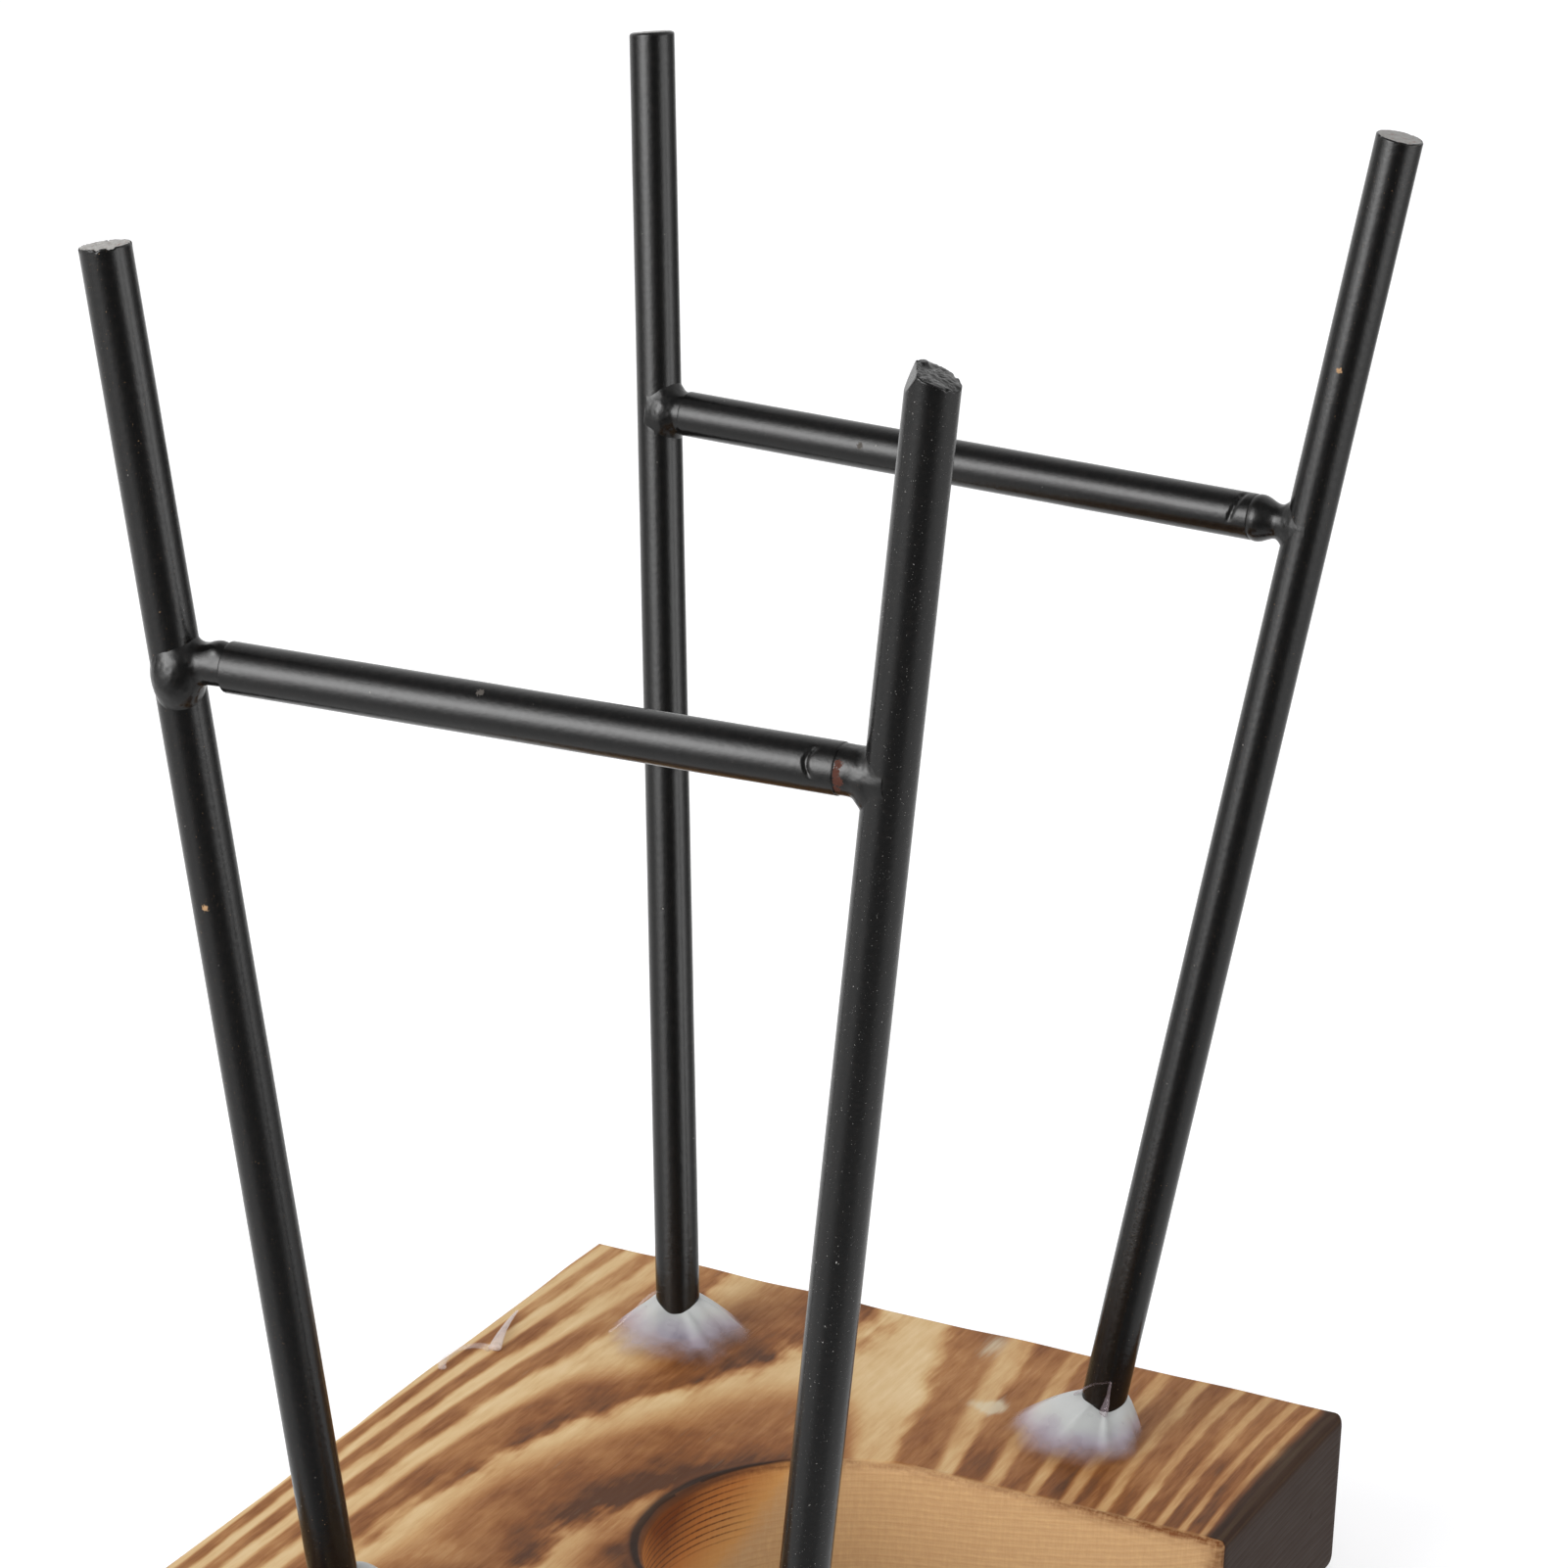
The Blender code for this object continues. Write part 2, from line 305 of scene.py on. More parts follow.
def addDrum():
    # a ball of directions every 2.5 degrees; each patch is
    # amount * exp(-|x / wide|^steep - |y / tall|^steep), with x and y the angles from its middle
    turns, rises = np.meshgrid(np.linspace(0, 360, 145), np.linspace(-89, 89, 73))
    turn, rise = np.radians(turns), np.radians(rises)
    level = np.cos(rise)
    ways = np.stack((np.sin(turn) * level, -np.cos(turn) * level, np.sin(rise)), axis=-1)

    def patch(azimuth, elevation, wide, tall, steep, amount):
        towards, right, up = facing(azimuth, elevation)
        x = np.degrees(np.arctan2(ways @ right, ways @ towards))
        y = np.degrees(np.arcsin(np.clip(ways @ up, -1, 1)))
        return amount * np.exp(-(np.abs(x / wide) ** steep) - np.abs(y / tall) ** steep)

    glow = studio["drumGlow"] * np.prod([1 - patch(*dim) for dim in studio["dims"]], axis=0)
    glow = glow + sum(patch(*raised) for raised in studio["raises"])
    rows, columns = glow.shape
    here = (np.arange(rows - 1)[:, None] * columns + np.arange(columns - 1)).reshape(-1)
    faces = np.stack((here, here + columns, here + columns + 1, here + 1), axis=-1)
    points = np.array(studio["aim"]) + ways * studio["drumRadius"]
    mesh = bpy.data.meshes.new("gloss_drum")
    mesh.from_pydata(points.reshape(-1, 3).tolist(), [], faces.tolist())
    layer = mesh.attributes.new("glow", "FLOAT", "POINT")
    layer.data.foreach_set("value", glow.ravel().astype(np.float32))
    material, start = newMaterial("gloss_drum")
    shone = start.add("Attribute", {"attribute_name": "glow"}, output=2)
    settle(material, {**glowing, "Base Color": (0, 0, 0, 1), "Emission Color": shone})
    mesh.materials.append(material)
    obj = bpy.data.objects.new("gloss_drum", mesh)
    for ray in ("camera", "diffuse", "transmission", "volume_scatter", "shadow"):
        setattr(obj, "visible_" + ray, False)
    bpy.context.scene.collection.objects.link(obj)


def seenShare(start):
    # 1 for a ray that shows the world or the floor itself, 0 for one that gathers matt light
    names = ("Is Camera Ray", "Is Glossy Ray", "Is Transmission Ray")
    direct, glossy, through = (start.add("LightPath", output=name) for name in names)
    return direct.most(glossy).most(through)


def addFloor():
    # a square just under the board that glows a little where it is seen; gloss passes it by
    half = studio["floorHalf"]
    corners = [(-half, -half), (half, -half), (half, half), (-half, half)]
    mesh = bpy.data.meshes.new("floor")
    mesh.from_pydata([(x, y, -studio["floorDrop"]) for x, y in corners], [], [(0, 1, 2, 3)])
    material, start = newMaterial("floor")
    glow = seenShare(start) * studio["floorGlow"]
    colour = shade(*studio["floor"])
    settle(material, {**glowing, "Base Color": colour, "Emission Color": glow})
    mesh.materials.append(material)
    floor = bpy.data.objects.new("floor", mesh)
    floor.visible_glossy = False
    bpy.context.scene.collection.objects.link(floor)


def addStudio():
    # the world is white where it is seen, and that times the fill as matt light
    for name, box in studio["softboxes"].items():
        addSoftbox(name, box)
    world = bpy.data.worlds.new("studio")
    world.use_nodes = True
    bpy.context.scene.world = world
    strength = seenShare(Flow(world.node_tree)) * (1 - studio["fill"]) + studio["fill"]
    background = world.node_tree.nodes["Background"]
    background.inputs["Color"].default_value = (1, 1, 1, 1)
    world.node_tree.links.new(strength.socket, background.inputs["Strength"])
    addFloor()
    addDrum()


addCamera()
addStudio()
bpy.context.scene.view_settings.view_transform = "Standard"
print("camera and studio")


board = {
    "half": (50.0, 62.5),
    "thickness": 20.0,
    "slotCentre": 14.3,
    "slotRadius": 23.0,
    # the worn edges: their radius, how much it wanders, and over what length
    "edge": 1.05,
    "edgeWander": 0.35,
    "edgeSwing": 9.0,
    # the brushed top: how deep the pale early wood and the fibres are worn
    "earlyWorn": 0.09,
    "fibreWorn": 0.03,
    # the flat arm ends: how far the first and the last ring of the face are drawn in
    "armFace": (2.2, 9.6),
    # the growth rings at the top face, fitted to points along the photographed bands:
    # coefficient of (x / 50)^i (y / 60)^j, then local swells of place, amount and reach
    "rings": {
        (0, 0): -0.876,
        (0, 1): 1.043,
        (0, 2): 0.646,
        (0, 3): -0.327,
        (0, 4): -0.248,
        (1, 0): 1.986,
        (1, 1): -0.154,
        (1, 2): 0.145,
        (1, 3): 0.264,
        (1, 4): 0.163,
        (2, 0): 7.846,
        (2, 1): 0.619,
        (2, 2): 0.741,
        (2, 3): 0.071,
        (2, 4): -0.582,
        (3, 0): 4.517,
        (3, 1): -0.095,
        (3, 2): -0.428,
        (3, 3): -0.283,
        (3, 4): -0.724,
        (4, 0): -3.614,
        (4, 1): -3.206,
        (4, 2): -0.334,
        (4, 3): 0.435,
        (5, 0): -5.915,
        (5, 1): 0.335,
        (5, 2): 0.764,
        (6, 0): 3.84,
        (6, 1): 1.544,
        (7, 0): 2.375,
    },
    "ringSpan": (50, 60),
    "swells": ((-21, -22, 0.3, 10), (-7, -14, -0.3, 6), (-27, 31, 0.3, 6)),
    "ringsPerDepth": 1.15,
    # how far in from each side the char starts and is full, how much the start wanders, and the
    # char's amount
    "sideBurns": {
        "right": (4.8, 1.2, 0.8, 0.85),
        "left": (1.2, 0.1, 0.3, 0.4),
        "back": (0.9, 0.1, 0.3, 0.35),
    },
    # how dark the brown and the pale bands are, from 0 to 1
    "brown": 0.70,
    "pale": 0.26,
    # pale smears on the top: place, half sizes and amount
    "smears": (
        (12.2, 42.5, 2.6, 1.4, 1.0),
        (13.2, 42.8, 1.2, 2.6, 1.0),
        (6.6, 58.5, 1.6, 4.2, 0.9),
    ),
    # from the palest wood to the most scorched
    "tones": (
        (0.0, (219, 192, 148)),
        (0.2, (208, 176, 128)),
        (0.4, (190, 148, 98)),
        (0.6, (160, 110, 64)),
        (0.8, (127, 77, 37)),
        (1.0, (80, 47, 25)),
    ),
    "burnt": ((0.0, (140, 84, 48)), (0.7, (38, 24, 16))),
    # the outer side faces' colour: char, darkened further as painted shade
    "sideCharAndShade": (64, 44, 36),
    "sideRuddy": (98, 56, 40),
    # the slot's sawn wall, from bare wood to its scorched round end
    "sawnTones": (
        (0.0, (203, 165, 116)),
        (0.1, (192, 155, 112)),
        (0.25, (198, 145, 85)),
        (0.6, (176, 110, 54)),
        (1.0, (108, 54, 20)),
    ),
    "sawnLine": (176, 134, 90),
    "burntLine": (66, 36, 20),
    "rimBrown": (104, 60, 28),
    "smear": (214, 204, 176),
}


def ringPhase(points):
    # a polynomial of x and y at the top face with bell-shaped swells, plus the depth below its
    # worn relief
    x, y, z = np.moveaxis(points, -1, 0)
    spanX, spanY = board["ringSpan"]
    phase = sum(c * (x / spanX) ** i * (y / spanY) ** j for (i, j), c in board["rings"].items())
    for atX, atY, amount, reach in board["swells"]:
        phase = phase + amount * bell(x, atX, reach) * bell(y, atY, reach)
    depth = np.maximum(board["thickness"] - 0.2 - z, 0)
    return phase + depth * board["ringsPerDepth"]


def boardPath():
    # the slot's rim and the board's outer edge as matching rows of points: along the back arm,
    # round the slot's centre by equal angles, and out along the front arm
    halfX, halfY = board["half"]
    centre, radius = board["slotCentre"], board["slotRadius"]
    armX = np.linspace(halfX - board["edge"], centre, 60, endpoint=False)
    turn = np.linspace(math.pi / 2, 3 * math.pi / 2, 401)
    corner = math.atan2(halfY, -halfX - centre)
    for angle in (corner, 2 * math.pi - corner):
        turn[np.abs(turn - angle).argmin()] = angle
    cosine, sine = np.cos(turn), np.sin(turn)
    reachX = (halfX + centre) / np.maximum(-cosine, 1e-9)
    reachY = halfY / np.maximum(np.abs(sine), 1e-9)
    reach = np.minimum(reachX, reachY)
    plain = np.zeros_like(armX)
    # rows of a centre's x and the unit vector from it to the rim
    back = np.stack((armX, plain, plain + 1), axis=-1)
    roundEnd = np.stack((turn * 0 + centre, cosine, sine), axis=-1)
    front = np.stack((armX[::-1], plain, plain - 1), axis=-1)
    rows = np.concatenate((back, roundEnd, front))
    inward = rows[:, 1:]
    inner = rows[:, :1] * (1, 0) + inward * radius
    backEdge = np.stack((armX, plain + halfY), axis=-1)
    roundEdge = np.stack((centre + cosine * reach, sine * reach), axis=-1)
    frontEdge = np.stack((armX[::-1], plain - halfY), axis=-1)
    return inner, inward, np.concatenate((backEdge, roundEdge, frontEdge))


def boardProfile():
    # the closed section as rows of (inset, share, level, drop): over the top from the slot to the
    # outer side, down, back under, and up the slot's wall. The inset from the wall and the drop
    # below the level are in units of the edge radius; share runs from the slot to the outer side
    arc = np.linspace(0, math.pi / 2, 6)[1:-1]
    wall = np.linspace(0, 1, 17)
    rows = [(1, share, 1, 0) for share in np.linspace(0, 1, 92)]
    rows += [(1 - math.sin(a), 1, 1, 1 - math.cos(a)) for a in arc]
    rows += [(0, 1, 1 - share, 1 - 2 * share) for share in wall]
    rows += [(1 - math.cos(a), 1, 0, math.sin(a) - 1) for a in arc]
    rows += [(1, 1 - share, 0, 0) for share in np.linspace(0, 1, 14)]
    rows += [(1 - math.sin(a), 0, 0, math.cos(a) - 1) for a in arc]
    rows += [(0, 0, share, 2 * share - 1) for share in wall]
    rows += [(1 - math.cos(a), 0, 1, 1 - math.sin(a)) for a in arc]
    return np.array(rows, float)


def buildBoard():
    # each point lies between the slot's rim and the outer edge, by the profile's share, with both
    # drawn in by its inset; its height is the profile's level less its drop
    inner, inward, outer = boardPath()
    inset, share, level, drop = boardProfile().T
    halfX, halfY = board["half"]
    along = np.concatenate((outer, outer[:, :1] * 0), axis=-1)
    edge = board["edge"] + board["edgeWander"] * lumps(along, board["edgeSwing"], 3)
    edge = edge[:, None]
    rim = inner[:, None] + inward[:, None] * (inset * edge)[..., None]
    drawnX = outer[:, None, 0] + inset * edge * np.clip(-outer[:, None, 0] / halfX, 0, 1)
    drawnY = outer[:, None, 1] * (1 - inset * edge / halfY)
    lip = np.stack((drawnX, drawnY), axis=-1)
    plan = rim + (lip - rim) * share[:, None]
    height = level * board["thickness"] - drop * edge
    rings = np.concatenate((plan, height[..., None]), axis=-1)
    # brushed relief on the top: the pale early wood is worn a little below the brown
    onTop = (level > 0.99) & (inset > 0.99)
    early = 0.5 + 0.5 * np.cos(2 * math.pi * ringPhase(rings))
    fibre = lumps(rings * (2.2, 0.16, 1), 1.0, 5) + 1
    rings[..., 2] -= onTop * (board["earlyWorn"] * early + board["fibreWorn"] * fibre)
    # the two arm ends: the section curves over the edge radius and then shrinks to its middle
    arc = np.linspace(0, math.pi / 2, 6)[1:]
    steps = [(board["edge"] * (1 - math.cos(a)), board["edge"] * (1 - math.sin(a))) for a in arc]
    steps += [(shrink, 0) for shrink in np.linspace(*board["armFace"], 8)]
    caps = []
    for last in (rings[0], rings[-1]):
        middle = (last.min(0) + last.max(0)) / 2
        span = (last.max(0) - last.min(0)) / 2
        layers = []
        for shrink, short in steps:
            layer = middle + (last - middle) * (1, 1 - shrink / span[1], 1 - shrink / span[2])
            layer[:, 0] = halfX - short
            layers.append(layer)
        caps.append(layers)
    rings = np.concatenate((np.array(caps[0][::-1]), rings, np.array(caps[1])))
    poles = [rings[0].mean(0), rings[-1].mean(0)]
    piece = addLoft("base_board_wood", rings, *poles, woodMaterial(), boardMasks(rings))
    declare(piece, "scorched_wood", "base_board")


def boardMasks(rings):
    # what the material needs at each point, as sums and products of eased steps and bell curves
    # of its distances from the slot, the sides and the top
    x, y, z = np.moveaxis(rings, -1, 0)
    centre, radius = board["slotCentre"], board["slotRadius"]
    halfX, halfY = board["half"]
    offMiddle = np.abs(y)
    fromSlot = np.where(x > centre, offMiddle, np.hypot(x - centre, y)) - radius
    depth = board["thickness"] - z
    wander = lumps(rings, 7.0, 11) + 0.5 * lumps(rings, 2.5, 12)
    sawn = ease(fromSlot, 0.85, 0.45)
    top = ease(depth, 1.4, 0.4)
    turn = np.degrees(np.arctan2(offMiddle, x - centre)) * (x < centre)
    roundEnd = ease(turn, 100, 160)
    # char at the slot's rim, on the wall just under it and along the sides, and a brown bloom that
    # spreads over the top from the round end
    rim = bell(np.maximum(fromSlot - 0.6, 0), 0, 0.4 + roundEnd + 0.25 * wander)
    charred = rim * (0.25 + 0.75 * roundEnd) * ease(depth, 3.0, 0.0)
    wallChar = 0.62 * roundEnd * ease(depth, 1.7, 0.0)
    fromSides = {"right": halfX - x, "left": halfX + x, "back": halfY - offMiddle}
    for side, (start, full, strays, amount) in board["sideBurns"].items():
        burn = amount * ease(fromSides[side], start - strays * wander, full)
        charred = np.maximum(charred, burn)
    spread = np.exp(-((np.maximum(fromSlot, 0) / (5.5 + wander)) ** 1.5)) * roundEnd
    # the bands: closer in tone at the right, more contrast in the corners at the left, and paler
    # in two patches behind the slot
    rightward = ease(x, 4.0, 18.0)
    leftward = ease(-x, 31.0, 36.0)
    corner = ease(offMiddle, 34, 50) * ease(-x, 26, 38)
    brown = board["brown"] + 0.13 * rightward * ease(offMiddle, 38, 28) + 0.05 * wander
    brown = brown - 0.14 * corner - 0.05 * bell(x, 4, 12.25) * bell(offMiddle, 46, 12.25)
    pale = board["pale"] + 0.18 * rightward - 0.09 * leftward
    pale = pale + 0.08 * corner - 0.15 * bell(x, -1, 13.04) * bell(offMiddle, 48, 13.04)
    smear = sum(
        amount * bell(x, atX, halfWide) * bell(y, atY, halfDeep)
        for atX, atY, halfWide, halfDeep, amount in board["smears"]
    )
    # the sawn wall browns towards the middle of its round end, later lower down
    late = turn - 1.2 * depth
    tone = (0.57 * ease(late, 116, 156) + 0.44 * ease(turn, 153, 183)) * (1.25 - 0.065 * depth)
    rimBrown = bell(fromSlot, 0.3, 0.45) * ease(depth, 1.4, 0.5)
    rimBrown = rimBrown * (0.4 + 0.5 * ease(x, 16, 42) + 0.4 * roundEnd)
    return {
        "phase": ringPhase(rings),
        "brown": brown,
        "pale": pale,
        "skew": (1 - ease(x, -12, -2)) * (1 - leftward),
        "slim": rightward,
        "sawn": sawn,
        "tone": np.maximum(tone, 0.08),
        "lines": ease(turn, 140, 156) * ease(depth, 9.0, 7.4),
        "spread": spread,
        # below the top the sides get half char, which is partly painted shade
        "burn": np.where(sawn > 0.5, wallChar, np.maximum(charred, 0.5 * (1 - top))),
        "rimBrown": np.maximum(rimBrown, 0.7 * ease(x, 46.8, 49.8)),
        # the outer side faces, which take dark char and painted shade
        "side": (1 - top) * (1 - sawn),
        "smear": np.minimum(smear, 1) * top,
    }


def woodMaterial():
    # the ring's share picks a tone from pale to scorched, shifted by noises along the grain; the
    # sides' char with painted shade, the sawn wall and the char are mixed over it by their masks
    material, start = newMaterial("scorched_wood")
    place = millimetres(start)
    mask = {}
    for name in boardMasks(np.zeros((1, 1, 3))):
        mask[name] = start.add("Attribute", {"attribute_name": name}, output=2)
    phase, skew = mask["phase"], mask["skew"]
    along = start.add("SeparateXYZ", None, {0: place}, 1)
    # streaks that follow the rings, strands and fibres along the grain, and soft clouds
    flow = start.add("CombineXYZ", None, {0: phase * 4.0, 1: along * 0.09, 2: 0.0})
    streak = flow.noise(1.0, 4.0, 0.6) - 0.5
    strand = place.stretched(0.5, 0.09, 0.5).noise(1.0, 3.0, 0.6) - 0.5
    fibre = place.stretched(1.6, 0.12, 1.6).noise(1.0, 3.0, 0.55) - 0.5
    fine = place.stretched(5.0, 0.5, 5.0).noise(1.0, 2.0, 0.6) - 0.5
    cloud = place.stretched(0.12, 0.07, 0.12).noise(1.0, 3.0, 0.55) - 0.5
    # the share of the ring, -0.5 to 0.5 from its pale middle: an even pale band at the sides, and
    # in the middle one that rises slowly and ends in a sharp dark edge
    warped = phase + cloud * (0.2 + skew * 0.25) + strand * (0.17 - skew * 0.03)
    across = (warped + fibre * 0.03 + 0.5).fraction() - 0.5
    slim = across * (1 + mask["slim"] * 0.3)
    even = slim.rise(-0.33, -0.1) * slim.rise(0.35, 0.12)
    leaning = across.rise(-0.5, -0.1) * across.rise(0.13, -0.05)
    band = even + (leaning - even) * skew
    edge = across.rise(-0.02, 0.14) * across.rise(0.5, 0.12) * skew
    level = mask["brown"] - (mask["brown"] - mask["pale"]) * band + edge * 0.16
    level = level + streak * 0.3 + strand * 0.3 + fibre * 0.25 + fine * 0.15
    level = level + cloud * (0.5 + skew * 0.4) + mask["spread"] * 0.45
    top = level.ramp(*board["tones"])
    dab = (mask["smear"] + streak * 0.8 + fibre * 1.2).rise(0.15, 1.2)
    top = top.tint(dab * 0.7, board["smear"])
    ruddy = (streak * 1.5 + cloud).rise(0.1, 0.5)
    # the outer sides: char with painted shade over the top's colour, and ruddy streaks
    sidesCharAndShade = top.tint(0.86, board["sideCharAndShade"]).tint(ruddy * 0.6, board["sideRuddy"])
    top = top.tint(mask["side"], sidesCharAndShade)
    # the slot's sawn wall: thin ring lines broken into dashes, and fine upright ticks
    ticks = place.stretched(3.0, 3.0, 0.45).noise(1.0, 3.0, 0.6) - 0.5
    dashes = place.stretched(0.5, 0.5, 2.6).noise(1.0, 3.0, 0.6) - 0.5
    offLine = ((phase + cloud * 0.5).fraction() - 0.5).size() * 2
    line = (offLine + dashes * 0.5).rise(0.42, 0.05)
    scorch = mask["tone"] + dashes * 0.12 + ticks * 0.1
    wall = scorch.ramp(*board["sawnTones"])
    grainy = (dashes + ticks + 0.1).rise(-0.25, 0.5) * 0.4 + line * 0.35
    wall = wall.tint(grainy * mask["tone"].rise(0.3, 0.0), board["sawnLine"])
    wall = wall.tint(line * mask["lines"] * (0.8 + ticks), board["burntLine"])
    wall = wall.tint(mask["rimBrown"] * (1 + dashes * 1.5 + ticks), board["rimBrown"])
    colour = top.tint(mask["sawn"], wall)
    burn = mask["burn"]
    ember = burn.ramp(*board["burnt"])
    colour = colour.tint((burn + streak * 0.25).rise(0.08, 0.8) * 0.94, ember)
    relief = fibre * 0.35 + fine * 0.2 - band * 0.2
    bump = start.add("Bump", None, {"Strength": 0.25, "Distance": 0.0003, "Height": relief})
    rough = 0.55 + fibre * 0.2 + burn * 0.1
    sockets = {"Base Color": colour, "Roughness": rough, "Normal": bump, "Specular IOR Level": 0.15}
    return settle(material, sockets)


buildBoard()
print("board")


rodSize = {
    "radius": 2.65,
    "socket": 11.7,
    "rim": 0.16,  # rounding at a crossbar's ends
    "wave": 0.012,  # how uneven the coat is, and over what length
    "waveLength": 6.0,
    # the mesh: points round, rows up a rod's side, near its cut and over the cut, and along a bar
    "columns": 112,
    "rows": 250,
    "topRows": 60,
    "faceRows": 16,
    "barRows": 360,
}
# Each cut has its slopes towards the camera's right and away from the camera, its roughness, how
# far it lies below the rod's full length, how bare the steel is, and the rounding of its rim. One
# has a burr, of place, half sizes and height, and a flat, of depth, length and clearance.
rods = {
    "front_left": {
        "foot": (-25.8, -43.2, 20),
        "lean": (-6.9, -6.5),
        "length": 155.0,
        "cut": {"across": 0, "away": -0.1, "rough": 0.3, "drop": 0.28, "bare": 0.9, "round": 0.08},
    },
    "back_left": {
        "foot": (-28.9, 43.3, 20),
        "lean": (-6.6, 6.6),
        "length": 156.3,
        "cut": {"across": 0.04, "away": 0, "rough": 0.04, "drop": 0.1, "bare": 0.7, "round": 0.38},
    },
    "back_right": {
        "foot": (26.3, 42.6, 20),
        "lean": (7.6, 5.3),
        "length": 156.4,
        "cut": {"across": 0, "away": 0.07, "rough": 0.1, "drop": 0.2, "bare": 0.66, "round": 0.14},
    },
    "front_right": {
        "foot": (27.2, -43.2, 20),
        "lean": (5.8, -5.2),
        "length": 153.4,
        "cut": {
            "across": -0.28,
            "away": 0.04,
            "rough": 0.2,
            "drop": 0.55,
            "bare": 0,
            "round": 0.1,
            "burr": (-0.9, 1.9, 0.35, 0.45, 0.55),
            "flat": (1.05, 2.7, 0.1),
        },
    },
}
# for each end of a crossbar: its height above the board, and its gap to the rod's side
bars = {
    "front": {"front_left": (110.1, 3.5), "front_right": (110.8, 2.3)},
    "back": {"back_left": (110.7, 1.1), "back_right": (110.1, 3.8)},
}
# a notch in each bar's coat near its right end: distance from the end, slant, bow, the middle
# and half width of its turn in degrees from the top towards the front, and depth
notches = {"front": (2.5, 0.0, 0.6, 66, 34, 0.28), "back": (1.9, 0.45, 0.0, 50, 44, 0.26)}


def rodAxis(name):
    # the unit vector whose slopes along x and y are the tangents of the rod's leans
    slopes = [math.tan(math.radians(angle)) for angle in rods[name]["lean"]]
    return unit((*slopes, 1))


def rodPoint(name, height):
    # on the rod's centre line at that height above the board's top
    axis = rodAxis(name)
    return np.array(rods[name]["foot"]) + axis * height / axis[2]


def crossFrame(axis):
    # two unit vectors across an axis: the first leans towards the camera's right
    right = np.array(camera["right"])
    across = unit(right - axis * np.dot(right, axis))
    return across, np.cross(axis, across)


def coatScale(u, v, along, shift, seed):
    # one plus the coat's waves over the radius, which stretches a point from the centre line
    places = np.stack(np.broadcast_arrays(u, v, along), axis=-1) + shift
    waves = lumps(places, rodSize["waveLength"], seed)
    return 1 + rodSize["wave"] * (waves - 1) / rodSize["radius"]


def buildRod(name):
    # side rings stretched to the slanting cut, then shrinking rings over the cut face
    rod = rods[name]
    cut = rod["cut"]
    axis = rodAxis(name)
    across, away = crossFrame(axis)
    bottom = np.array(rod["foot"], float) - axis * rodSize["socket"]
    full = rod["length"] + rodSize["socket"]
    radius = rodSize["radius"]
    turn = np.linspace(0, 2 * math.pi, rodSize["columns"], endpoint=False)
    topShare = np.linspace(0.961, 1, rodSize["topRows"])
    sideShare = np.concatenate((np.linspace(0, 0.96, rodSize["rows"]), topShare))
    faceInset = np.linspace(0.045, 0.93, rodSize["faceRows"])
    inset = np.concatenate((sideShare * 0, faceInset))[:, None]
    shareUp = np.concatenate((sideShare, faceInset * 0 + 1))[:, None]
    u, v = (1 - inset) * radius * np.cos(turn), (1 - inset) * radius * np.sin(turn)
    # how far the cut face lies below the rod's full length
    flat = np.stack((u, v, u * 0), axis=-1)
    seed = 31 + len(name)
    chip = lumps(flat, 0.55, seed) + 0.6 * lumps(flat, 0.22, seed + 1)
    drop = cut["drop"] - cut["across"] * u - cut["away"] * v
    drop = drop + cut["rough"] * (0.35 * chip + 0.65 * np.abs(chip) * (1 - inset) ** 6)
    drop = np.maximum(drop, 0.02)
    if "burr" in cut:
        atU, atV, wideU, wideV, tall = cut["burr"]
        drop = np.maximum(drop - tall * bell(u, atU, wideU) * bell(v, atV, wideV), 0.02)
    height = shareUp * (full - drop)
    below = full - drop - height
    if "flat" in cut:
        deep, long, clear = cut["flat"]
        u = np.maximum(u, deep * np.clip(1 - below / long, 0, 1) - radius - clear)
    # the rim's rounding, as a quarter circle below the cut
    under = np.clip(1 - below / cut["round"], 0, 1)
    shrink = 1 - cut["round"] / radius * (1 - np.sqrt(1 - under**2))
    u, v = u * shrink, v * shrink
    coat = coatScale(u, v, height, seed * 7, seed)
    rings = bottom + axis * height[..., None]
    rings = rings + across * (u * coat)[..., None] + away * (v * coat)[..., None]
    bare = np.broadcast_to((inset > 0.01) * cut["bare"], u.shape)
    top, material = rings[-1].mean(0), paintMaterial(name)
    piece = addLoft("rod_" + name + "_painted", rings, bottom, top, material, {"bare": bare})
    declare(piece, "black_paint", "rod_" + name)


paint = {
    "tones": ((0.45, (10, 10, 10)), (0.75, (16, 14, 13))),
    "dust": (150, 146, 140),
    # a cut's steel, the thin black over it, and its brown spots
    "steel": ((0.55, (168, 166, 163)), (0.75, (118, 108, 100))),
    "thinBlack": (62, 60, 60),
    "brown": (110, 62, 44),
    "rough": 0.2,
    "markRough": 0.75,
    "markFade": 0.6,
}
